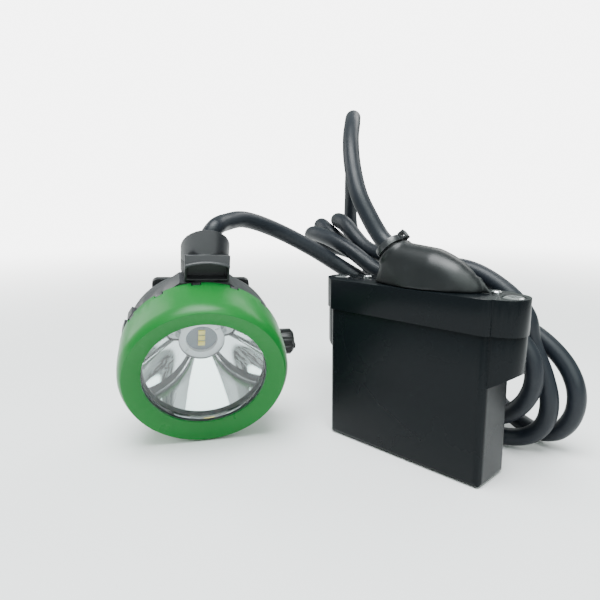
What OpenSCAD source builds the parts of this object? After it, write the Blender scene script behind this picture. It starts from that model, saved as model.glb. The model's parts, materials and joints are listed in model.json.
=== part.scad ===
// Miner's cap lamp: a headpiece, a battery pack and the power cable that joins them.
// Origin: centre of the battery's base. +X along the battery, +Y to its back, +Z up.
// The headpiece stands tilted on the edge of its bezel, so its parts are drawn in the
// lamp's own frame (X to the switch, Y to the cable gland, Z out of the lens).

/* [Battery] */

// Case length without the screw lugs
case_w = 83.4; // [76:0.2:92]
// Case thickness
case_d = 23.4; // [22:0.2:30]
// Case height up to the cover joint
case_h = 65.3; // [62:0.1:72]
// Cover length without the screw lugs
cover_w = 85; // [78:0.2:94]
// Cover thickness
cover_d = 25; // [23:0.2:32]
// Cover height
cover_h = 14.7; // [12:0.1:20]
// Wall thickness of case and cover
wall = 1.7; // [1.4:0.1:2.5]
// Radius of the upright corners
corner_r = 3.5; // [2:0.5:5]
// Radius of the cover's screw lugs
lug_r = 10; // [9:0.5:11]
// Centre of the left screw lug, from the middle
lug_left = 39.8; // [38:0.1:43]
// Centre of the right screw lug, from the middle
lug_right = 42.5; // [38:0.1:43]
// Cell diameter
cell_d = 18.3; // [18:0.1:18.4]
// Cell length
cell_h = 65; // [64:0.5:65.5]

/* [Headpiece] */

// Largest bezel radius
bezel_r = 40.2; // [39.6:0.1:41]
// Bezel opening radius
open_r = 29.3; // [27:0.1:31]
// Depth of the bezel skirt behind the front plane
skirt_z = 24; // [20:0.5:26]
// Housing radius behind the bezel
cup_r = 37.6; // [37:0.1:38.5]
// Depth of the housing behind the front plane
cup_z = 47; // [44:0.5:52]
// Number of locking teeth round the housing
tooth_count = 14; // [8:1:20]
// Radius of the cable gland
gland_r = 11.35; // [10:0.1:12.5]
// Radius of the switch knob
knob_r = 6.75; // [5:0.1:7]
// Diameter of the knob shaft
shaft_d = 4; // [3:0.1:5]

/* [Cable] */

// Cable diameter
cable_d = 8.4; // [7.5:0.1:9]
// Sides of the cable section
cable_sides = 10; // [8:1:12]

/* [Hidden] */

$fn = 96;
eps = 0.01;

// place of the headpiece
lamp_pos = [-65, -71, 35.4];
lamp_turn = 58;
lamp_tip = 111;
lamp_roll = -2.5;

// shared heights and depths
top_z = case_h + cover_h;
screw_out = 3.6;
gland_x = 0.7;
gland_z = -35.8;
gland_back = 52.7; // height of its flat back
gland_rise = 1.2; // slope of its front wall
gland_foot = 47.3;
grommet_y = 48.4;
grommet_h = 3.4;
hood_foot = 40.5;
hood_front = -24.3;
hood_left = -9.1;
hood_right = 11.4;
hood_wall = 1;
pocket_floor = 41.4;
pocket_back = -28.2;
lip_mid = 50.8;
lip_side = 49.1;
visor_top = 53.9;
visor_out = 0.9;
bead_out = 0.7;
seat_y = hood_foot - 0.05;
shoulder_y = 39.4;
spigot_r = 5.5;
knob_z = -31;
shaft_r = shaft_d / 2;
hook_screw_x = 17;
hook_screw_y = 5;
run = 0.05;
cup_wall_r = 33.2;
lens_r = 29.3;
seat_r = 34.4;
dish_r = 28.8;
dish_hub_r = 11.7;
dish_front = -13.5;
lens_back = -9.45;
dish_back = -34.4;
dish_cone = 0.5; // 0 is a paraboloid, 1 a cone
gasket_back = dish_front - 1.5;

// stack inside the battery
floor_t = 2.2;
strap_t = 0.3;
pad_t = 1.2;
board_t = 1.6;
cell_top = floor_t + cell_h;
pitch = cell_d + 0.4;

// boot neck: a line that rises to the left at 45 degrees through this point
neck = [-10.5, 0, 93];
neck_bore_r = 4.4;
tie_seat_r = 6;

green = [0.3, 0.6, 0.34];
dark = [0.2, 0.21, 0.22];
black = [0.09, 0.1, 0.11];
rubber = [0.13, 0.14, 0.15];
steel = [0.72, 0.73, 0.75];
white = [0.92, 0.92, 0.92];
alu = [0.66, 0.67, 0.69];

// cable centre line, from inside the gland to inside the boot
route = [
  [-77.1, -60.1, 93.4], [-75, -60.7, 99], [-72.8, -60, 102.9], [-72.4, -56.6, 106.3],
  [-77, -48, 107.9], [-82, -32, 108.7], [-81, -12, 102.7], [-71, 6, 91.9],
  [-57, 20, 79.4], [-32, 27, 67], [-6, 28, 58], [11, 29, 51], [22, 32, 42],
  [23, 38, 30], [14, 44, 23], [0, 49, 26], [-16, 54, 37], [-38, 57, 54],
  [-60, 55.5, 73], [-78, 53, 84.2], [-92.7, 45, 89.8], [-95.2, 32.2, 95.2],
  [-87.4, 24, 98.8], [-72.8, 20.5, 97], [-56, 20.5, 91], [-38, 23, 80.6], [-8, 26, 72],
  [20, 27, 66], [36, 27, 58], [44, 27.5, 48], [45, 28, 36], [39, 30, 24], [26, 36, 14],
  [8, 45, 12], [-12, 57, 22], [-36, 66, 42], [-62, 69, 62], [-84, 67, 79],
  [-98, 59, 91.8], [-102.2, 48, 98.9], [-96, 40.2, 102.8], [-85, 36.2, 98.9],
  [-66, 37, 88], [-36, 40, 77], [-6, 41, 70], [20, 44, 63], [38, 46, 55], [51, 47, 44],
  [57.5, 46, 32], [56.5, 47, 19], [49, 49.5, 8.5], [36, 54, 4.5], [17, 60, 10.5],
  [-6, 64, 31], [-32, 64, 56], [-56, 62, 78], [-79.8, 60.5, 89.4], [-84, 50, 101.4],
  [-81.6, 39.2, 106], [-68.9, 31.2, 104.5], [-50, 29.5, 91], [-20, 31, 86],
  [8, 33, 85], [26, 34, 77], [37, 35, 66], [40, 36.5, 53], [46, 37.5, 39],
  [49, 38, 27], [47, 39, 15], [39, 39, 6.5], [27, 35, 4.5], [8, 30, 4.5], [-12, 32, 5],
  [-36, 43, 9], [-60, 59, 24], [-79, 70, 47], [-86.4, 75, 74.6], [-98.2, 72, 99],
  [-94.9, 67, 122], [-88.5, 60, 144.3], [-80.3, 50, 158.4], [-68.5, 37, 163],
  [-57.9, 24, 158.6], [-48.8, 12, 147.9], [-40.8, 4, 134.8], [-32.4, -1, 120.8],
  [-25.6, -1, 109.8], [-19.6, 0, 101], [-12.5, 0, 95], [-6.5, 0, 89]
];

function unit(v) = v / norm(v);
function across(a, t) = unit(a - (a * t) * t);
function heading(path, i) =
  unit(path[min(i + 1, len(path) - 1)] - path[max(i - 1, 0)]);
function headings(path) = [for (i = [0 : len(path) - 1]) heading(path, i)];
function sides_of(dirs) = [
  for (i = 0, s = across([1, 0, 0], dirs[0]);
       i < len(dirs);
       i = i + 1, s = i < len(dirs) ? across(s, dirs[i]) : s) s
];
function ring_points(path, dirs, sides, r, count) = [
  for (i = [0 : len(path) - 1])
    for (k = [0 : count - 1])
      path[i] + r * cos(360 * k / count) * sides[i]
        + r * sin(360 * k / count) * cross(dirs[i], sides[i])
];
function tube_faces(rings, count) = concat(
  [[for (k = [count - 1 : -1 : 0]) k]],
  [for (i = [0 : rings - 2])
    for (k = [0 : count - 1])
      [i * count + k, i * count + (k + 1) % count,
       (i + 1) * count + (k + 1) % count, (i + 1) * count + k]],
  [[for (k = [0 : count - 1]) (rings - 1) * count + k]]
);

// ---- helpers ----

module lamp() {
  translate(lamp_pos)
    rotate([0, 0, lamp_turn])
      rotate([lamp_tip, 0, 0])
        rotate([0, 0, lamp_roll])
          children();
}

// turns a shape drawn along Z so that it runs along the lamp's X
module along_x() {
  rotate([0, 90, 0]) children();
}

// turns a shape drawn along Z so that it runs along the lamp's Y
module along_y() {
  rotate([-90, 0, 0]) children();
}

// a shape drawn along Z then runs up the gland, from a given height
module at_gland(y) {
  translate([gland_x, y, gland_z]) along_y() children();
}

// turns a shape drawn along Z so that it runs up the boot's neck
module along_neck() {
  translate(neck) rotate([0, -45, 0]) children();
}

module ring(r_out, r_in, h) {
  difference() {
    cylinder(h = h, r = r_out);
    translate([0, 0, -1]) cylinder(h = h + 2, r = r_in);
  }
}

module rounded_plate(w, d, h, r) {
  translate([-w / 2, -d / 2 + r, 0]) cube([w, d - 2 * r, h]);
  translate([-w / 2 + r, -d / 2, 0]) cube([w - 2 * r, d, h]);
  for (x = [-w / 2 + r, w / 2 - r])
    for (y = [-d / 2 + r, d / 2 - r])
      translate([x, y, 0]) cylinder(h = h, r = r);
}

module soft_foot(w, d, h, cut) {
  intersection() {
    rounded_plate(w, d, h, corner_r);
    rotate([90, 0, 0])
      linear_extrude(height = d + 2, center = true)
        polygon([[-w / 2, cut], [-w / 2 + cut * 0.3, cut * 0.3], [-w / 2 + cut, 0],
                 [w / 2 - cut, 0], [w / 2 - cut * 0.3, cut * 0.3], [w / 2, cut],
                 [w / 2, h], [-w / 2, h]]);
    rotate([90, 0, 90])
      linear_extrude(height = w + 2, center = true)
        polygon([[-d / 2, cut], [-d / 2 + cut * 0.3, cut * 0.3], [-d / 2 + cut, 0],
                 [d / 2 - cut, 0], [d / 2 - cut * 0.3, cut * 0.3], [d / 2, cut],
                 [d / 2, h], [-d / 2, h]]);
  }
}

module pan_screw(head_r, head_h, shank_r, shank_len) {
  difference() {
    union() {
      cylinder(h = head_h * 0.6, r = head_r);
      translate([0, 0, head_h * 0.6]) cylinder(h = head_h * 0.4, r1 = head_r, r2 = head_r * 0.8);
      translate([0, 0, -shank_len]) cylinder(h = shank_len + eps, r = shank_r);
    }
    for (a = [0, 90])
      rotate([0, 0, a])
        translate([-head_r * 0.55, -head_r * 0.12, head_h * 0.45])
          cube([head_r * 1.1, head_r * 0.24, head_h]);
  }
}

// ---- headpiece ----

module tooth_places() {
  for (i = [0 : tooth_count - 1])
    rotate([0, 0, 95.5 + i * 360 / tooth_count]) children();
}

module bezel_ring() {
  color(green) lamp() difference() {
    rotate_extrude()
      polygon([[open_r, -4.5], [37.5, -1], [37.9, -1.3], [38.9, -3], [39.7, -5],
               [40.05, -8.5], [bezel_r, -12], [bezel_r - 0.2, -skirt_z], [37.2, -skirt_z],
               [37.2, -5.6], [open_r, -5.6]]);
    tooth_places()
      translate([36, -2.3, -skirt_z - 1]) cube([6, 4.6, 3.4]);
  }
}

module lens_gasket() {
  color(rubber) lamp() rotate_extrude()
    polygon([[lens_r + 0.05, -5.65], [34, -5.65], [34, dish_front - 1.4],
             [31.2, dish_front - 1.4], [31.2, dish_front + 0.05], [28.9, dish_front + 0.05],
             [28.9, lens_back - 0.05], [lens_r + 0.05, lens_back - 0.05]]);
}

module lens() {
  color([0.8, 0.9, 0.95, 0.3]) lamp()
    translate([0, 0, lens_back]) cylinder(h = 2.3, r = lens_r);
}

module reflector() {
  steps = 14;
  flat = dish_r * dish_r;
  hub = dish_hub_r * dish_hub_r;
  dish = [for (i = [0 : steps])
    let (r = dish_r + (dish_hub_r - dish_r) * i / steps,
         part = (1 - dish_cone) * (r * r - hub) / (flat - hub)
                + dish_cone * (r - dish_hub_r) / (dish_r - dish_hub_r))
      [r, dish_back + (dish_front - dish_back) * part]];
  back = [for (i = [steps : -1 : 0])
    [dish[i][0] + 1.1, min(dish[i][1], dish_front - 1.4)]];
  color([0.85, 0.86, 0.88]) lamp() rotate_extrude()
    polygon(concat(dish, back, [[31.1, dish_front - 1.4], [31.1, dish_front]]));
}

module led_collar() {
  color(white) lamp() difference() {
    translate([0, 0, -37.6]) ring(11.5, 8.1, 2.2);
    for (a = [0, 180])
      rotate([0, 0, 40 + a]) translate([9, -0.5, -36.4]) cube([1.7, 1, 2]);
  }
}

module led_plate() {
  color([0.6, 0.62, 0.64]) lamp() {
    translate([0, 0, -38.2]) cylinder(h = 0.6, r = 7.9);
    translate([-2.2, -6.4, -37.6 - eps]) cube([4.4, 12.8, 0.3]);
  }
}

module led_dice() {
  color([0.95, 0.85, 0.2]) lamp()
    for (y = [-3.4, 0, 3.4])
      translate([-1.75, y - 1.3, -37.31]) cube([3.5, 2.6, 0.7]);
}

module led_board() {
  color([0.8, 0.8, 0.82]) lamp()
    translate([0, 0, -40]) cylinder(h = 1.8, r = 11.4);
}

module heat_sink() {
  color(alu) lamp() {
    translate([0, 0, -42]) cylinder(h = 2, r = 16);
    translate([0, 0, -44]) cylinder(h = 2 + eps, r = 9);
  }
}

module lamp_housing() {
  color(dark) lamp() difference() {
    union() {
      rotate_extrude()
        polygon([[seat_r, -7], [36.8, -7], [36.8, -24.3], [cup_r, -24.3], [cup_r, -37],
                 [36.9, -40.5], [34.8, -44], [31.5, -46.3], [28, -cup_z], [0, -cup_z],
                 [0, -44], [30, -44], [cup_wall_r, -41], [cup_wall_r, gasket_back], [seat_r, gasket_back]]);
      tooth_places()
        translate([36.7, -1.6, -25]) cube([3, 3.2, 3.2]);
      // shoulders that rise to the gland, and the seat behind them
      difference() {
        union() {
          translate([0, 0, -35]) linear_extrude(height = 10.7)
            polygon([[-30.5, 21.5], [-27.5, 26], [-18.5, 33.8], [-gland_r, shoulder_y],
                     [gland_r, shoulder_y], [18.5, 33.8], [27.5, 26], [30.5, 21.5]]);
          at_gland(26) cylinder(h = seat_y - 26, r = gland_r - 0.3);
        }
        translate([0, 0, -44]) cylinder(h = 20, r = 34);
      }
      // two grip ribs on the side away from the switch
      for (a = [150, 162])
        rotate([0, 0, a]) translate([36.4, -2.1, -33]) cube([3.4, 4.2, 7]);
      // pad inside, under the gland nut
      translate([gland_x - 9, 29.5, -44]) cube([18, 5, 19]);
      // boss of the switch
      translate([0, 0, knob_z]) along_x()
        translate([0, 0, 33.5]) cylinder(h = 6.5, r = 6.4);
    }
    at_gland(20) cylinder(h = 30, r = spigot_r + run);
    translate([0, 0, knob_z]) along_x() {
      translate([0, 0, 30]) cylinder(h = 20, r = shaft_r + run);
      translate([0, 0, 37.4]) cylinder(h = 5, r = 4.3);
    }
    // blind holes of the hook screws
    for (x = [-hook_screw_x, hook_screw_x])
      translate([x, hook_screw_y, -cup_z - 1]) cylinder(h = 3.2, r = 1.25);
  }
}

// the arched mouth of the pocket, from a given height up to the lip
module mouth(x0, x1, y0, drop) {
  mid = (x0 + x1) / 2;
  half = (x1 - x0) / 2;
  polygon(concat(
    [[x1, y0]],
    [for (i = [4 : -1 : -4])
      [mid + half * i / 4, lip_side - drop + (lip_mid - lip_side) * (1 - i * i / 16)]],
    [[x0, y0]]));
}

module lock_hood() {
  color(dark) lamp() difference() {
    union() {
      at_gland(hood_foot) cylinder(h = gland_foot - hood_foot - 0.05, r = gland_r);
      translate([hood_left, hood_foot, gland_z])
        cube([hood_right - hood_left, gland_foot - hood_foot - 0.05, hood_front - gland_z]);
    }
    // pocket, open to the front
    translate([hood_left + hood_wall, pocket_floor, pocket_back])
      cube([hood_right - hood_left - 2 * hood_wall, 10, 10]);
    at_gland(30) cylinder(h = 30, r = spigot_r + run);
  }
}

module cable_gland() {
  reach = gland_r + 1;
  front_top = gland_back + gland_rise * reach;
  width = hood_right - hood_left;
  color(dark) lamp() {
    difference() {
      union() {
        // round body, flat behind and rising in a wedge to its front wall
        intersection() {
          at_gland(gland_foot) cylinder(h = front_top - gland_foot, r = gland_r);
          translate([gland_x - reach, 0, gland_z]) along_x()
            linear_extrude(height = 2 * reach)
              polygon([[-reach, gland_foot], [-reach, front_top], [0, gland_back],
                       [reach, gland_back], [reach, gland_foot]]);
        }
        // visor over the mouth of the hood
        hull() {
          translate([0, 0, hood_front]) linear_extrude(height = visor_out)
            mouth(hood_left, hood_right, gland_foot, 0);
          translate([hood_left, gland_foot, hood_front + 0.2])
            cube([width, visor_top - gland_foot, 0.1]);
          translate([hood_left, gland_foot, gland_z]) cube([width, 0.6, 0.1]);
        }
        // bead along the visor's lip
        translate([0, 0, hood_front]) linear_extrude(height = visor_out + bead_out)
          mouth(hood_left, hood_right, gland_foot, 0);
        at_gland(25.2) cylinder(h = gland_foot - 25, r = spigot_r);
      }
      at_gland(20) cylinder(h = 33.5, r = neck_bore_r);
      at_gland(grommet_y - 0.1) cylinder(h = grommet_h + 0.2, r = 6.5);
      // mouth that leans the way the cable leaves
      hull() {
        at_gland(gland_back + 0.5) cylinder(h = 0.1, r = neck_bore_r, $fn = 48);
        translate([6, 0, 0]) at_gland(front_top + 1)
          cylinder(h = 0.1, r = neck_bore_r, $fn = 48);
      }
      translate([0, 0, pocket_back]) linear_extrude(height = 10)
        mouth(hood_left + hood_wall, hood_right - hood_wall, gland_foot - 1, 0.9);
    }
  }
}

module gland_grommet() {
  color(rubber) lamp() at_gland(grommet_y) ring(6.4, 4.25, grommet_h);
}

module gland_nut() {
  color(steel) lamp() at_gland(25.6) difference() {
    cylinder(h = 3.8, r = 7.9, $fn = 6);
    translate([0, 0, -1]) cylinder(h = 6, r = spigot_r + run);
  }
}

// ---- rotary switch ----

module switch_knob() {
  color(black) lamp() translate([0, 0, knob_z]) along_x() difference() {
    union() {
      translate([0, 0, 40.4]) cylinder(h = 5.4, r = knob_r);
      translate([0, 0, 45.8 - eps]) cylinder(h = 1.4, r1 = knob_r, r2 = knob_r - 1.4);
      translate([-5, -1.1, 47]) cube([10, 2.2, 1]);
    }
    for (i = [0 : 11])
      rotate([0, 0, 15 + 30 * i]) translate([knob_r + 0.4, 0, 40]) cylinder(h = 8, r = 1);
    translate([0, 0, 40]) cylinder(h = 5, r = shaft_r + 0.02);
  }
}

module knob_shaft() {
  color(steel) lamp() translate([0, 0, knob_z]) along_x()
    translate([0, 0, 23]) cylinder(h = 21.9, r = shaft_r);
}

module shaft_clip() {
  color(steel) lamp() translate([0, 0, knob_z]) along_x() difference() {
    translate([0, 0, 31.7]) ring(3.8, shaft_r + 0.01, 0.8);
    translate([-1, 0, 31]) cube([2, 6, 3]);
  }
}

module knob_seal() {
  color(rubber) lamp() translate([0, 0, knob_z]) along_x()
    translate([0, 0, 37.5]) ring(4.25, shaft_r + run, 2.4);
}

module switch_unit() {
  color(white) lamp() difference() {
    translate([21.5, -6, knob_z - 6]) cube([9.6, 12, 10]);
    translate([0, 0, knob_z]) along_x() translate([0, 0, 22.6])
      cylinder(h = 10, r = shaft_r + run);
  }
}

// ---- rear cap hook ----

module hat_hook() {
  color(black) lamp() difference() {
    union() {
      translate([0, 0, -cup_z - 2.5]) rounded_plate(49, 57.5, 2.5, 3);
      translate([0, 23, -cup_z - 7.5]) rounded_plate(24, 8, 5 + eps, 2);
      translate([0, -1, -cup_z - 9.5]) rounded_plate(24, 56, 2 + eps, 3);
    }
    for (x = [-hook_screw_x, hook_screw_x])
      translate([x, hook_screw_y, -cup_z - 4]) cylinder(h = 5, r = 1.6);
  }
}

module hook_screws() {
  color(steel) lamp()
    for (x = [-hook_screw_x, hook_screw_x])
      translate([x, hook_screw_y, -cup_z - 2.5]) rotate([180, 0, 0])
        pan_screw(2.7, 1.6, 1.2, 4.4);
}

// ---- battery ----

function lug_centre(side) = side > 0 ? lug_right : -lug_left;
function screw_centre(side) = lug_centre(side) + side * screw_out;

module lug_at(side, r, h) {
  translate([lug_centre(side), 0, 0]) cylinder(h = h, r = r);
}

module battery_case() {
  color(black) difference() {
    union() {
      soft_foot(case_w, case_d, case_h, 2.4);
      for (side = [-1, 1])
        difference() {
          translate([0, 0, 43]) lug_at(side, lug_r - 0.6, case_h - 43);
          // slanted underside of the lug
          translate([lug_centre(side) - side * 1.5, 0, 43]) rotate([0, side * -32, 0])
            translate([-side * 2 - 15, -15, -30]) cube([30, 30, 30]);
        }
    }
    translate([0, 0, floor_t])
      rounded_plate(case_w - 2 * wall, case_d - 2 * wall, case_h, corner_r - 1.5);
    translate([0, 0, case_h - 1]) rounded_plate(81.8, 21.8, 2, 2.6);
    for (side = [-1, 1])
      translate([screw_centre(side), 0, 53]) cylinder(h = 20, r = 2);
    for (z = [15, 59])
      translate([0, 8, z]) along_y() cylinder(h = 6, r = 1.3);
  }
}

module case_cover() {
  color(black) difference() {
    translate([0, 0, case_h]) {
      rounded_plate(cover_w, cover_d, cover_h, corner_r);
      for (side = [-1, 1])
        lug_at(side, lug_r, cover_h);
    }
    translate([0, 0, case_h - 1])
      rounded_plate(80, 20, cover_h - 1.5, 2);
    for (side = [-1, 1])
      translate([screw_centre(side), 0, case_h - 1]) {
        cylinder(h = 20, r = 2.1);
        translate([0, 0, cover_h - 1]) cylinder(h = 4, r = 4.6);
      }
    for (x = [-31, 36.5])
      translate([x, 5, top_z - 3]) cylinder(h = 4, r = 1.05);
    translate([0, 0, top_z - 4]) cylinder(h = 6, r = neck_bore_r);
  }
}

module cover_gasket() {
  color(rubber) translate([0, 0, case_h - 1]) difference() {
    rounded_plate(81.7, 21.7, 1, 2.5);
    translate([0, 0, -1]) rounded_plate(80.2, 20.2, 3, 2);
  }
}

// boot outline: [x, z, radius, squeeze front to back] of the balls it is drawn over
boot_balls = [
  [-13.3, 77, 8.4, 0.78], [3, 85.4, 12, 0.86], [9.2, 85.6, 12, 0.86],
  [13.2, 83.9, 12.2, 0.8], [16.9, 82, 12.2, 0.74], [21, 81.2, 10.2, 0.68],
  [24.6, 80.4, 7.9, 0.6]
];
// its footprint on the cover: [x, radius]
boot_feet = [[-12, 7.4], [3, 11.6], [10, 11.4], [18, 9.4], [25, 6.2]];

module cable_boot() {
  color(rubber) difference() {
    intersection() {
      union() {
        hull() {
          for (b = boot_balls)
            translate([b[0], 0, b[1]]) scale([1, b[3], 1]) sphere(r = b[2], $fn = 40);
          for (f = boot_feet)
            translate([f[0], 0, top_z]) cylinder(h = 0.4, r = f[1], $fn = 40);
          along_neck() translate([0, 0, -1]) cylinder(h = 1.4, r = 8.3, $fn = 40);
        }
        along_neck() {
          cylinder(h = 1.8, r = 8.8);
          cylinder(h = 6.8, r = tie_seat_r);
        }
        // thin web down to the cover
        translate([0, 2, 0]) rotate([90, 0, 0]) linear_extrude(height = 1.2)
          polygon([[20, top_z], [36.3, top_z], [31, 86.6], [20, 86.6]]);
      }
      translate([-60, -60, top_z]) cube([120, 120, 60]);
    }
    along_neck() translate([0, 0, -15]) cylinder(h = 40, r = neck_bore_r);
    translate([0, 0, top_z - 1]) cylinder(h = 6, r = neck_bore_r - 0.1);
  }
}

module cable_tie() {
  color(black) along_neck() {
    translate([0, 0, 3.4]) ring(7, tie_seat_r + 0.02, 3);
    rotate([0, 0, 20]) translate([6.6, -2.4, 3]) difference() {
      cube([3.2, 4.8, 3.8]);
      translate([1, -1, 0.9]) cube([1.2, 8, 2]);
    }
  }
}

module lug_screws() {
  color(steel)
    for (side = [-1, 1])
      translate([screw_centre(side), 0, top_z - 1]) pan_screw(4.3, 1.2, 1.95, 24);
}

module cover_screws() {
  color(steel)
    for (x = [-31, 36.5])
      translate([x, 5, top_z]) pan_screw(2.1, 1, 1, 2.6);
}

module cells() {
  color([0.2, 0.45, 0.7])
    for (i = [-1.5 : 1 : 1.5])
      translate([i * pitch, 0, floor_t]) cylinder(h = cell_h, r = cell_d / 2);
}

module cell_straps() {
  color(steel)
    for (side = [-1, 1])
      translate([side * pitch - 14, -4, cell_top]) cube([28, 8, strap_t]);
}

module cell_pad() {
  color([0.8, 0.75, 0.6]) translate([-37, -8.5, cell_top + strap_t])
    cube([74, 17, pad_t]);
}

module protection_board() {
  color([0.1, 0.4, 0.25]) {
    board_z = cell_top + strap_t + pad_t;
    translate([-36, -8, board_z]) cube([72, 16, board_t]);
    for (x = [-24, -8, 14])
      translate([x, -3, board_z + board_t - eps]) cube([8, 6, 1.8]);
  }
}

module belt_loop() {
  color(black) difference() {
    translate([-12, 0, 0]) rotate([90, 0, 90]) linear_extrude(height = 24)
      polygon([[11.7, 11], [13.9, 11], [13.9, 18.6], [18.4, 20], [20.4, 22], [20.4, 52],
               [18.4, 54], [13.9, 55.4], [13.9, 63], [11.7, 63], [11.7, 54.2],
               [17.6, 52.2], [18.2, 51.4], [18.2, 22.6], [17.6, 21.8], [11.7, 19.8]]);
    for (z = [15, 59])
      translate([0, 10, z]) along_y() cylinder(h = 6, r = 1.6);
  }
}

module belt_screws() {
  color(steel)
    for (z = [15, 59])
      translate([0, 13.9, z]) along_y() pan_screw(2.6, 1.6, 1.25, 3.6);
}

// ---- cable ----

module cable() {
  dirs = headings(route);
  color(rubber)
    polyhedron(points = ring_points(route, dirs, sides_of(dirs), cable_d / 2, cable_sides),
               faces = tube_faces(len(route), cable_sides));
}

bezel_ring();
lens_gasket();
lens();
reflector();
led_collar();
led_plate();
led_dice();
led_board();
heat_sink();
lamp_housing();
lock_hood();
cable_gland();
gland_grommet();
gland_nut();
switch_knob();
knob_shaft();
shaft_clip();
knob_seal();
switch_unit();
hat_hook();
hook_screws();
battery_case();
case_cover();
cover_gasket();
cable_boot();
cable_tie();
lug_screws();
cover_screws();
cells();
cell_straps();
cell_pad();
protection_board();
belt_loop();
belt_screws();
cable();
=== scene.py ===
import json
import math
import bpy
import bmesh
from mathutils import Matrix, Vector


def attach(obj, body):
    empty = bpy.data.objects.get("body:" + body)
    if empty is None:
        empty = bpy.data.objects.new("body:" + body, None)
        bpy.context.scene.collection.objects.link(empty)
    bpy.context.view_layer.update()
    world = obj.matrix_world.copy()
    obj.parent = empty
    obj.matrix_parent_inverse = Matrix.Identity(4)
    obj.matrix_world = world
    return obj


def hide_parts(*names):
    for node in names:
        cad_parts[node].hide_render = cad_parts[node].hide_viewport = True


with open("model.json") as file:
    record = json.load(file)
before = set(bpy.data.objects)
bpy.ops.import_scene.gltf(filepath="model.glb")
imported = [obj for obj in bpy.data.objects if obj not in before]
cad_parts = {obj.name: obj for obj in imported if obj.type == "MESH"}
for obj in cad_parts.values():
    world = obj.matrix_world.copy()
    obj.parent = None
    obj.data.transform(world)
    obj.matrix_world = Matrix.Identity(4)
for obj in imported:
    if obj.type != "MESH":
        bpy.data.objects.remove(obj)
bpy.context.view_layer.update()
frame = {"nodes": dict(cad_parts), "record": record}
nodes = frame["nodes"]
MM = 0.001


# ---------- camera: low and from the right ----------

CAMERA_PLACE = (0.1357, -0.205, 0.1189)
LENS_MM = 32.15
SENSOR_MM = 36

yaw, pitch, roll = math.radians(45.73), math.radians(10.7), math.radians(-0.49)
ahead = Vector((-math.sin(yaw) * math.cos(pitch), math.cos(yaw) * math.cos(pitch), -math.sin(pitch)))
side0 = Vector((math.cos(yaw), math.sin(yaw), 0))
up0 = side0.cross(ahead)
side = side0 * math.cos(roll) + up0 * math.sin(roll)
up = up0 * math.cos(roll) - side0 * math.sin(roll)
camera = bpy.data.objects.new("camera", bpy.data.cameras.new("camera"))
camera.data.lens = LENS_MM
camera.data.sensor_width = SENSOR_MM
camera.data.clip_start = 0.01
turn = Matrix((side, up, -ahead)).transposed()
camera.matrix_world = Matrix.Translation(CAMERA_PLACE) @ turn.to_4x4()
bpy.context.scene.collection.objects.link(camera)
bpy.context.scene.camera = camera


# ---------- materials ----------

class Nodes:
    """A material's node tree with short calls for the nodes used here."""

    def __init__(self, name):
        self.material = bpy.data.materials.new(name)
        self.material.use_nodes = True
        self.tree = self.material.node_tree
        self.shader = self.tree.nodes["Principled BSDF"]
        self.place = self.tree.nodes.new("ShaderNodeTexCoord").outputs["Object"]

    def link(self, a, b):
        self.tree.links.new(a, b)

    def noise(self, scale, detail=3.0, rough=0.5, stretch=None):
        n = self.tree.nodes.new("ShaderNodeTexNoise")
        n.inputs["Scale"].default_value = scale
        n.inputs["Detail"].default_value = detail
        n.inputs["Roughness"].default_value = rough
        if stretch:
            m = self.tree.nodes.new("ShaderNodeMapping")
            m.inputs["Scale"].default_value = stretch
            self.link(self.place, m.inputs["Vector"])
            self.link(m.outputs["Vector"], n.inputs["Vector"])
        else:
            self.link(self.place, n.inputs["Vector"])
        return n.outputs["Fac"]

    def span(self, value, low, high, to_low, to_high):
        m = self.tree.nodes.new("ShaderNodeMapRange")
        m.inputs["From Min"].default_value = low
        m.inputs["From Max"].default_value = high
        m.inputs["To Min"].default_value = to_low
        m.inputs["To Max"].default_value = to_high
        self.link(value, m.inputs["Value"])
        return m.outputs["Result"]

    def mix(self, factor, a, b):
        m = self.tree.nodes.new("ShaderNodeMix")
        m.data_type = "RGBA"
        self.link(factor, m.inputs["Factor"])
        for value, socket in ((a, m.inputs["A"]), (b, m.inputs["B"])):
            if isinstance(value, tuple):
                socket.default_value = value + (1,)
            else:
                self.link(value, socket)
        return m.outputs["Result"]

    def bump(self, height, distance, strength=1.0, after=None):
        b = self.tree.nodes.new("ShaderNodeBump")
        b.inputs["Distance"].default_value = distance
        b.inputs["Strength"].default_value = strength
        self.link(height, b.inputs["Height"])
        if after:
            self.link(after, b.inputs["Normal"])
        return b.outputs["Normal"]

    def into(self, **sockets):
        names = {"color": "Base Color", "rough": "Roughness", "normal": "Normal", "metal": "Metallic",
                 "ior": "IOR", "pass_light": "Transmission Weight", "level": "Specular IOR Level"}
        for key, value in sockets.items():
            socket = self.shader.inputs[names[key]]
            if isinstance(value, (int, float)):
                socket.default_value = value
            elif isinstance(value, tuple):
                socket.default_value = value + (1,)
            else:
                self.link(value, socket)
        return self.material


def plastic(name, color, other, rough, spread=0.06, grain=900, depth=0.00002, wear=(0.2, 0.2, 0.2),
            scratches=0.5, level=0.5):
    """Moulded plastic: slow colour drift, fine grain, faint scuffs."""
    n = Nodes(name)
    drift = n.mix(n.noise(18, 2), color, other)
    scuff = n.span(n.noise(90, 7, 0.75, (1, 1, 4)), 0.66, 0.76, 0, 1)
    shade = n.mix(n.span(scuff, 0, 1, 0, 0.22 * scratches), drift, wear)
    fine = n.noise(grain, 2)
    soft = n.span(n.noise(40, 4), 0.3, 0.7, rough - spread, rough + spread)
    normal = n.bump(n.noise(14, 2), 0.00008, 0.35, n.bump(fine, depth, 0.5))
    return n.into(color=shade, rough=soft, normal=normal, level=level)


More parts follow.
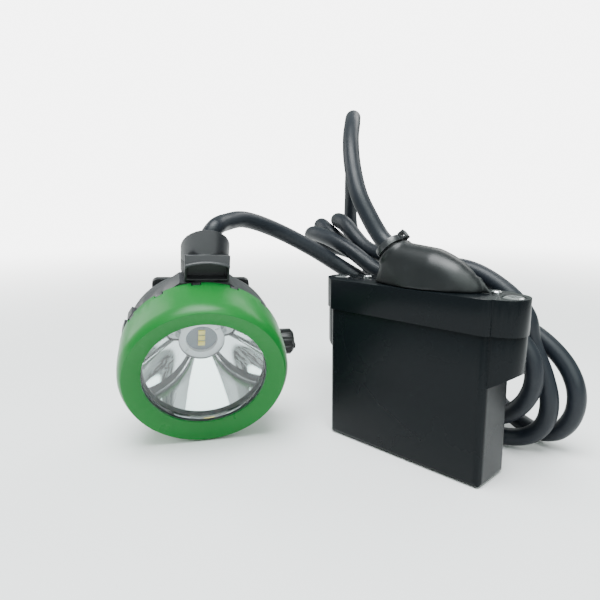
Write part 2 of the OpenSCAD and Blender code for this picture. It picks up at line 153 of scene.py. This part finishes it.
def rubbery(name, color, other, rough, grain=700, depth=0.00003, dusty=(0.06, 0.07, 0.075), level=0.5):
    """Soft rubber: slow colour drift, a little dust, shallow bumps and fine grain."""
    n = Nodes(name)
    drift = n.mix(n.noise(30, 4), color, other)
    dust = n.span(n.noise(160, 6, 0.7), 0.55, 0.8, 0, 0.25)
    shade = n.mix(dust, drift, dusty)
    normal = n.bump(n.noise(60, 3), 0.0001, 0.3, n.bump(n.noise(grain, 3), depth, 0.6))
    return n.into(color=shade, rough=n.span(n.noise(80, 3), 0.3, 0.7, rough - 0.05, rough + 0.07),
                  normal=normal, level=level)


def metal(name, color, rough, stretch=(1, 1, 12)):
    """Metal with fine brushed lines along the stretched axis."""
    n = Nodes(name)
    lines = n.noise(500, 3, 0.6, stretch)
    shade = n.mix(lines, color, tuple(c * 0.8 for c in color))
    return n.into(color=shade, metal=1.0, rough=n.span(lines, 0.3, 0.7, rough * 0.8, rough * 1.3),
                  normal=n.bump(lines, 0.00001, 0.4))


finish = {
    "bezel_plastic": plastic("bezel_plastic", (0.009, 0.15, 0.026), (0.007, 0.122, 0.02), 0.32, 0.05, 1100,
                             0.000012, (0.06, 0.26, 0.1), scratches=0.3, level=0.2),
    "head_plastic": plastic("head_plastic", (0.026, 0.027, 0.03), (0.02, 0.021, 0.024), 0.36, 0.06, 800,
                            0.00003, (0.09, 0.09, 0.1), scratches=0.4, level=0.4),
    "hood_plastic": plastic("hood_plastic", (0.009, 0.0095, 0.011), (0.013, 0.0135, 0.015), 0.4, level=0.3),
    "knob_plastic": plastic("knob_plastic", (0.003, 0.0034, 0.0038), (0.0045, 0.005, 0.0056), 0.34,
                            level=0.25),
    "hook_plastic": plastic("hook_plastic", (0.008, 0.0085, 0.01), (0.012, 0.0125, 0.014), 0.38),
    "pack_plastic": plastic("pack_plastic", (0.0028, 0.004, 0.005), (0.0036, 0.005, 0.0062), 0.27, 0.015, 700,
                            0.000012, (0.008, 0.01, 0.011), scratches=0.1, level=0.1),
    "tie_nylon": plastic("tie_nylon", (0.012, 0.013, 0.015), (0.018, 0.019, 0.021), 0.3),
    "white_plastic": plastic("white_plastic", (0.93, 0.96, 0.98), (0.9, 0.93, 0.95), 0.4,
                             wear=(0.8, 0.8, 0.8)),
    "led_grey": plastic("led_grey", (0.2, 0.23, 0.26), (0.17, 0.2, 0.23), 0.4),
    "led_yellow": plastic("led_yellow", (1.0, 0.86, 0.16), (0.95, 0.78, 0.1), 0.3, wear=(1.0, 0.9, 0.4)),
    "cell_wrap": plastic("cell_wrap", (0.05, 0.2, 0.55), (0.04, 0.16, 0.48), 0.25),
    "pad_card": plastic("pad_card", (0.6, 0.52, 0.36), (0.5, 0.43, 0.3), 0.8),
    "board_green": plastic("board_green", (0.02, 0.2, 0.08), (0.015, 0.15, 0.06), 0.35),
    "soft_rubber": rubbery("soft_rubber", (0.009, 0.013, 0.014), (0.014, 0.018, 0.02), 0.5),
    "boot_rubber": rubbery("boot_rubber", (0.0036, 0.0045, 0.0052), (0.005, 0.0062, 0.007), 0.38, 900,
                           0.000008, (0.02, 0.024, 0.027), 0.34),
    "cable_rubber": rubbery("cable_rubber", (0.0068, 0.0094, 0.0142), (0.005, 0.0068, 0.0102), 0.42, 700,
                            0.00002, (0.035, 0.041, 0.048), 0.27),
    "sink_metal": metal("sink_metal", (0.62, 0.63, 0.65), 0.35),
    "screw_steel": metal("screw_steel", (0.78, 0.79, 0.8), 0.2, (4, 4, 4)),
    "nickel_strip": metal("nickel_strip", (0.6, 0.58, 0.54), 0.3),
    "mirror_metal": metal("mirror_metal", (0.9, 0.94, 0.94), 0.04, (1, 1, 1)),
}

lens_mat = Nodes("clear_lens")
finish["clear_lens"] = lens_mat.into(
    color=(0.97, 0.99, 1.0), rough=lens_mat.span(lens_mat.noise(60, 4), 0.3, 0.7, 0.01, 0.04),
    pass_light=1.0, ior=1.49, normal=lens_mat.bump(lens_mat.noise(30, 2), 0.00002, 0.2))


def dress(obj, slot_name):
    obj.data.materials.clear()
    obj.data.materials.append(finish[slot_name])


# ---------- cable: the same centre line as the CAD's, in millimetres ----------

CABLE_R = 4.2
ROUTE = [
    (-77.1, -60.1, 93.4), (-75, -60.7, 99), (-72.8, -60, 102.9), (-72.4, -56.6, 106.3), (-77, -48, 107.9),
    (-82, -32, 108.7), (-81, -12, 102.7), (-71, 6, 91.9), (-57, 20, 79.4), (-32, 27, 67), (-6, 28, 58),
    (11, 29, 51), (22, 32, 42), (23, 38, 30), (14, 44, 23), (0, 49, 26), (-16, 54, 37), (-38, 57, 54),
    (-60, 55.5, 73), (-78, 53, 84.2), (-92.7, 45, 89.8), (-95.2, 32.2, 95.2), (-87.4, 24, 98.8),
    (-72.8, 20.5, 97), (-56, 20.5, 91), (-38, 23, 80.6), (-8, 26, 72), (20, 27, 66), (36, 27, 58),
    (44, 27.5, 48), (45, 28, 36), (39, 30, 24), (26, 36, 14), (8, 45, 12), (-12, 57, 22), (-36, 66, 42),
    (-62, 69, 62), (-84, 67, 79), (-98, 59, 91.8), (-102.2, 48, 98.9), (-96, 40.2, 102.8),
    (-85, 36.2, 98.9), (-66, 37, 88), (-36, 40, 77), (-6, 41, 70), (20, 44, 63), (38, 46, 55),
    (51, 47, 44), (57.5, 46, 32), (56.5, 47, 19), (49, 49.5, 8.5), (36, 54, 4.5), (17, 60, 10.5),
    (-6, 64, 31), (-32, 64, 56), (-56, 62, 78), (-79.8, 60.5, 89.4), (-84, 50, 101.4), (-81.6, 39.2, 106),
    (-68.9, 31.2, 104.5), (-50, 29.5, 91), (-20, 31, 86), (8, 33, 85), (26, 34, 77), (37, 35, 66),
    (40, 36.5, 53), (46, 37.5, 39), (49, 38, 27), (47, 39, 15), (39, 39, 6.5), (27, 35, 4.5), (8, 30, 4.5),
    (-12, 32, 5), (-36, 43, 9), (-60, 59, 24), (-79, 70, 47), (-86.4, 75, 74.6), (-98.2, 72, 99),
    (-94.9, 67, 122), (-88.5, 60, 144.3), (-80.3, 50, 158.4), (-68.5, 37, 163), (-57.9, 24, 158.6),
    (-48.8, 12, 147.9), (-40.8, 4, 134.8), (-32.4, -1, 120.8), (-25.6, -1, 109.8), (-19.6, 0, 101),
    (-12.5, 0, 95), (-6.5, 0, 89)]

curve = bpy.data.curves.new("cable_run", "CURVE")
curve.dimensions = "3D"
curve.bevel_depth = CABLE_R * MM
curve.bevel_resolution = 7
curve.resolution_u = 8
curve.use_fill_caps = True
spline = curve.splines.new("BEZIER")
spline.bezier_points.add(len(ROUTE) - 1)
path = [Vector(p) * MM for p in ROUTE]
for i, (bez, p) in enumerate(zip(spline.bezier_points, path)):
    before, after = path[max(i - 1, 0)], path[min(i + 1, len(path) - 1)]
    heading = (after - before).normalized()
    bez.co = p
    bez.handle_left_type = bez.handle_right_type = "FREE"
    bez.handle_left = p - heading * (p - before).length / 3
    bez.handle_right = p + heading * (after - p).length / 3
cable = bpy.data.objects.new("cable_run", curve)
bpy.context.scene.collection.objects.link(cable)
dress(cable, "cable_rubber")
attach(cable, "lamp_set")
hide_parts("cable")


# ---------- CAD nodes: softened edges and finishes ----------

slots = {s["node"]: s["material_slot"] for s in frame["record"]["subparts"]}
for name, obj in nodes.items():
    dress(obj, slots[name])


def smooth_shader():
    """A modifier's node group that shades every face smooth."""
    group = bpy.data.node_groups.new("smooth_shader", "GeometryNodeTree")
    group.interface.new_socket("Geometry", in_out="INPUT", socket_type="NodeSocketGeometry")
    group.interface.new_socket("Geometry", in_out="OUTPUT", socket_type="NodeSocketGeometry")
    start = group.nodes.new("NodeGroupInput")
    shade = group.nodes.new("GeometryNodeSetShadeSmooth")
    end = group.nodes.new("NodeGroupOutput")
    group.links.new(start.outputs[0], shade.inputs[0])
    group.links.new(shade.outputs[0], end.inputs[0])
    return group


SMOOTH = smooth_shader()


def soften(name, width):
    """Rounds a node's sharp edges by modifiers alone, so the part's own mesh stays as it is."""
    obj = nodes[name]
    shading = obj.modifiers.new("shading", "NODES")
    shading.node_group = SMOOTH
    weld = obj.modifiers.new("weld", "WELD")
    weld.merge_threshold = 0.000005
    flat = obj.modifiers.new("flat_faces", "DECIMATE")
    flat.decimate_type = "DISSOLVE"
    flat.angle_limit = math.radians(0.5)
    bevel = obj.modifiers.new("soft_edge", "BEVEL")
    bevel.width = width * MM
    bevel.segments = 3
    bevel.limit_method = "ANGLE"
    bevel.angle_limit = math.radians(30)
    bevel.harden_normals = True


for name, width in {"battery_case": 0.7, "case_cover": 0.5, "lock_hood": 0.25,
                    "lamp_housing": 0.25, "hat_hook": 0.5, "belt_loop": 0.3, "switch_knob": 0.25,
                    "cable_tie": 0.25, "bezel_ring": 0.3}.items():
    soften(name, width)


def remould(name, grain, rounds):
    """Turns a node's flat facets into one smooth moulded skin."""
    obj = nodes[name]
    skin = obj.modifiers.new("skin", "REMESH")
    skin.mode = "VOXEL"
    skin.voxel_size = grain * MM
    skin.use_smooth_shade = True
    relax = obj.modifiers.new("relax", "SMOOTH")
    relax.factor = 0.5
    relax.iterations = rounds


remould("cable_boot", 0.45, 24)
remould("cable_gland", 0.28, 3)


# ---------- reflector: the same dish, turned finely so that it mirrors cleanly ----------

LAMP_CENTRE = (-65, -71, 35.4)
LAMP_TURNS = ((58, "Z"), (111, "X"), (-2.5, "Z"))
HUB_R, RIM_R = 11.7, 28.8
DISH_BACK, DISH_FRONT = -34.4, -13.5
WALL = 1.1
FLANGE_R = 31.1
FLANGE_BACK = DISH_FRONT - 1.4
STEPS = 48
SIDES = 192


def turned(name, profile, sides):
    """A closed profile of (radius, depth) points turned round the lamp's own axis."""
    mesh = bpy.data.meshes.new(name)
    bm = bmesh.new()
    rings = [[bm.verts.new((r * math.cos(a) * MM, r * math.sin(a) * MM, z * MM))
              for a in (2 * math.pi * k / sides for k in range(sides))] for r, z in profile]
    for here, after in zip(rings, rings[1:] + rings[:1]):
        for k in range(sides):
            m = (k + 1) % sides
            bm.faces.new((here[k], here[m], after[m], after[k])).smooth = True
    bmesh.ops.recalc_face_normals(bm, faces=bm.faces)
    for edge in bm.edges:
        edge.smooth = len(edge.link_faces) < 2 or edge.calc_face_angle(0) < math.radians(25)
    bm.to_mesh(mesh)
    bm.free()
    obj = bpy.data.objects.new(name, mesh)
    place = Matrix.Translation(Vector(LAMP_CENTRE) * MM)
    for degrees, axis in LAMP_TURNS:
        place = place @ Matrix.Rotation(math.radians(degrees), 4, axis)
    obj.matrix_world = place
    bpy.context.scene.collection.objects.link(obj)
    return obj


# the curve lies halfway between a paraboloid and a cone
radii = [RIM_R + (HUB_R - RIM_R) * i / STEPS for i in range(STEPS + 1)]
rise = [((r * r - HUB_R ** 2) / (RIM_R ** 2 - HUB_R ** 2) + (r - HUB_R) / (RIM_R - HUB_R)) / 2 for r in radii]
inside = [(r, DISH_BACK + (DISH_FRONT - DISH_BACK) * t) for r, t in zip(radii, rise)]
outside = [(r + WALL, min(z, FLANGE_BACK)) for r, z in reversed(inside)]
dish = turned("dish", inside + outside + [(FLANGE_R, FLANGE_BACK), (FLANGE_R, DISH_FRONT)], SIDES)
dress(dish, "mirror_metal")
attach(dish, "lamp_set")
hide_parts("reflector")


# ---------- floor and light ----------

# how bright the backdrop and the far floor look to the camera
BACKDROP = 6.0


def ground(name, size, place, color):
    """A flat floor that fades into the white backdrop far from the object."""
    mesh = bpy.data.meshes.new(name)
    bm = bmesh.new()
    bmesh.ops.create_grid(bm, x_segments=1, y_segments=1, size=size)
    bm.to_mesh(mesh)
    bm.free()
    obj = bpy.data.objects.new(name, mesh)
    obj.location = place
    bpy.context.scene.collection.objects.link(obj)
    n = Nodes(name)
    n.into(color=color, rough=0.9)
    far = n.tree.nodes.new("ShaderNodeVectorMath")
    far.operation = "LENGTH"
    n.link(n.place, far.inputs[0])
    fade = n.tree.nodes.new("ShaderNodeMapRange")
    fade.interpolation_type = "SMOOTHSTEP"
    for key, value in (("From Min", 0.25), ("From Max", 1.3), ("To Min", 0), ("To Max", 1)):
        fade.inputs[key].default_value = value
    n.link(far.outputs["Value"], fade.inputs["Value"])
    seen = n.tree.nodes.new("ShaderNodeMath")
    seen.operation = "MULTIPLY"
    n.link(fade.outputs["Result"], seen.inputs[0])
    n.link(n.tree.nodes.new("ShaderNodeLightPath").outputs["Is Camera Ray"], seen.inputs[1])
    glow = n.tree.nodes.new("ShaderNodeEmission")
    glow.inputs["Strength"].default_value = BACKDROP
    both = n.tree.nodes.new("ShaderNodeMixShader")
    n.link(seen.outputs["Value"], both.inputs["Fac"])
    n.link(n.shader.outputs["BSDF"], both.inputs[1])
    n.link(glow.outputs["Emission"], both.inputs[2])
    n.link(both.outputs["Shader"], n.tree.nodes["Material Output"].inputs["Surface"])
    mesh.materials.append(n.material)


ground("floor", 3, (0, 0, -0.0002), (0.9, 0.9, 0.9))


def soft_light(name, place, aim, size, power, color=(1, 1, 1)):
    """A rectangular area light that faces the point it is aimed at."""
    data = bpy.data.lights.new(name, "AREA")
    data.shape = "RECTANGLE"
    data.size, data.size_y = size
    data.energy = power
    data.color = color
    obj = bpy.data.objects.new(name, data)
    obj.location = place
    obj.rotation_euler = (Vector(aim) - Vector(place)).to_track_quat("-Z", "Y").to_euler()
    bpy.context.scene.collection.objects.link(obj)


soft_light("key", (0.12, -0.25, 1.0), (0, 0, 0.04), (0.7, 0.6), 24, (0.95, 0.98, 1.0))
soft_light("left", (-0.9, -0.3, 0.5), (-0.02, 0, 0.05), (0.4, 0.8), 4)
soft_light("back", (-0.1, 0.9, 0.8), (0, 0, 0.05), (0.9, 0.4), 5)
world = bpy.data.worlds.new("studio")
world.use_nodes = True
tree = world.node_tree
outward = tree.nodes.new("ShaderNodeTexCoord").outputs["Generated"]
rays = tree.nodes.new("ShaderNodeLightPath").outputs


def lobe(toward, low, high, at_low, at_high):
    """Brightness that changes with the angle to one direction."""
    dot = tree.nodes.new("ShaderNodeVectorMath")
    dot.operation = "DOT_PRODUCT"
    dot.inputs[1].default_value = Vector(toward).normalized()
    tree.links.new(outward, dot.inputs[0])
    ramp = tree.nodes.new("ShaderNodeMapRange")
    ramp.interpolation_type = "SMOOTHSTEP"
    for key, value in (("From Min", low), ("From Max", high), ("To Min", at_low), ("To Max", at_high)):
        ramp.inputs[key].default_value = value
    tree.links.new(dot.outputs["Value"], ramp.inputs["Value"])
    return ramp.outputs["Result"]


def blend(factor, a, b, kind="FLOAT"):
    """Goes from a to b as the factor goes from 0 to 1."""
    m = tree.nodes.new("ShaderNodeMix")
    m.data_type = kind
    tree.links.new(factor, m.inputs["Factor"])
    for value, socket in ((a, m.inputs["A"]), (b, m.inputs["B"])):
        if isinstance(value, bpy.types.NodeSocket):
            tree.links.new(value, socket)
        else:
            socket.default_value = value
    return m.outputs["Result"]


# soft dark flags and a softbox above the front, which glossy surfaces mirror
flags = tree.nodes.new("ShaderNodeTexNoise")
flags.inputs["Scale"].default_value = 6
flags.inputs["Detail"].default_value = 3
flags.inputs["Distortion"].default_value = 3.0
tree.links.new(outward, flags.inputs["Vector"])
streaks = tree.nodes.new("ShaderNodeMapRange")
for key, value in (("From Min", 0.46), ("From Max", 0.58), ("To Min", 0.05), ("To Max", 0.7)):
    streaks.inputs[key].default_value = value
tree.links.new(flags.outputs["Fac"], streaks.inputs["Value"])
front = lobe((0.75, -0.65, 0.1), 0.72, 0.84, 0, 1)
softbox = lobe((0.6, -0.42, 0.68), 0.815, 0.84, 0, 1)
mirrored = blend(softbox, blend(front, 0.6, streaks.outputs["Result"]), 5.0)
lit = blend(rays["Is Diffuse Ray"], mirrored, lobe((0.7, -0.7, 0.1), -0.1, 0.75, 0.9, 0.22))
background = tree.nodes["Background"].inputs
tree.links.new(blend(rays["Is Camera Ray"], lit, BACKDROP), background["Strength"])
tint = blend(flags.outputs["Fac"], (0.72, 0.98, 0.88, 1), (1.0, 0.96, 0.96, 1), "RGBA")
tree.links.new(blend(rays["Is Camera Ray"], tint, (1, 1, 1, 1), "RGBA"), background["Color"])
bpy.context.scene.world = world
